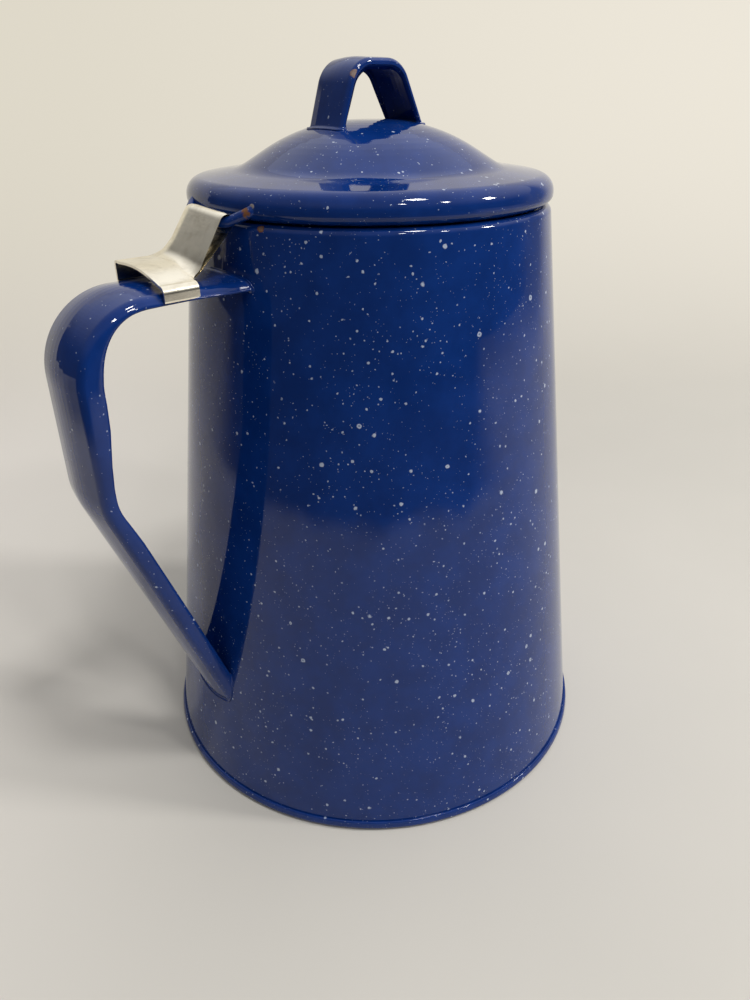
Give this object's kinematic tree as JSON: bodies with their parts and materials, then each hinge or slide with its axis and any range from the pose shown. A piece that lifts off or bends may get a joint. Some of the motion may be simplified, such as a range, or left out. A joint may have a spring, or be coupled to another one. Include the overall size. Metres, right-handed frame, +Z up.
{
  "type": "coffee percolator",
  "caption": "Speckled blue enamelware camp coffee percolator: conical pot, strap handle, short V spout, hinged lid with loop knob, lift-out pump and basket.",
  "frame": {"origin": "centre of the foot ring on the surface the pot stands on, on the pot's axis", "axes": "+Z up along the pot's axis, +X towards the spout, -X towards the handle"},
  "size_m": [0.1675, 0.1446, 0.2059],
  "materials": {
    "enamel": "glossy cobalt blue vitreous enamel on steel, with fine white speckles",
    "clip_steel": "bare plated spring steel, lightly scratched",
    "spun_aluminium": "satin spun aluminium"
  },
  "bodies": {
    "pot": {"body_shell": "enamel", "base_plate": "enamel", "spout": "enamel", "handle_strap": "enamel", "hinge_clip": "clip_steel"},
    "lid": {"lid_shell": "enamel", "lid_knob": "enamel", "hinge_wire": "enamel"},
    "pump": {"pump_foot": "spun_aluminium", "pump_tube": "spun_aluminium", "stop_ring": "spun_aluminium"},
    "basket": {"basket_bowl": "spun_aluminium", "basket_sleeve": "spun_aluminium"},
    "spreader": {"spreader": "spun_aluminium"}
  },
  "joints": [
    {"name": "lid_hinge", "type": "hinge", "parent": "pot", "child": "lid", "pos_m": [-0.0526, 0, 0.1711], "axis": [0, -1, 0], "range_deg": [0, 130]},
    {"name": "pump_lift", "type": "slide", "parent": "pot", "child": "pump", "axis": [0, 0, 1], "range_m": [0, 0.015]},
    {"name": "basket_lift", "type": "slide", "parent": "pump", "child": "basket", "axis": [0, 0, 1], "range_m": [0, 0.01]},
    {"name": "spreader_lift", "type": "slide", "parent": "basket", "child": "spreader", "axis": [0, 0, 1], "range_m": [0, 0.006]}
  ]
}
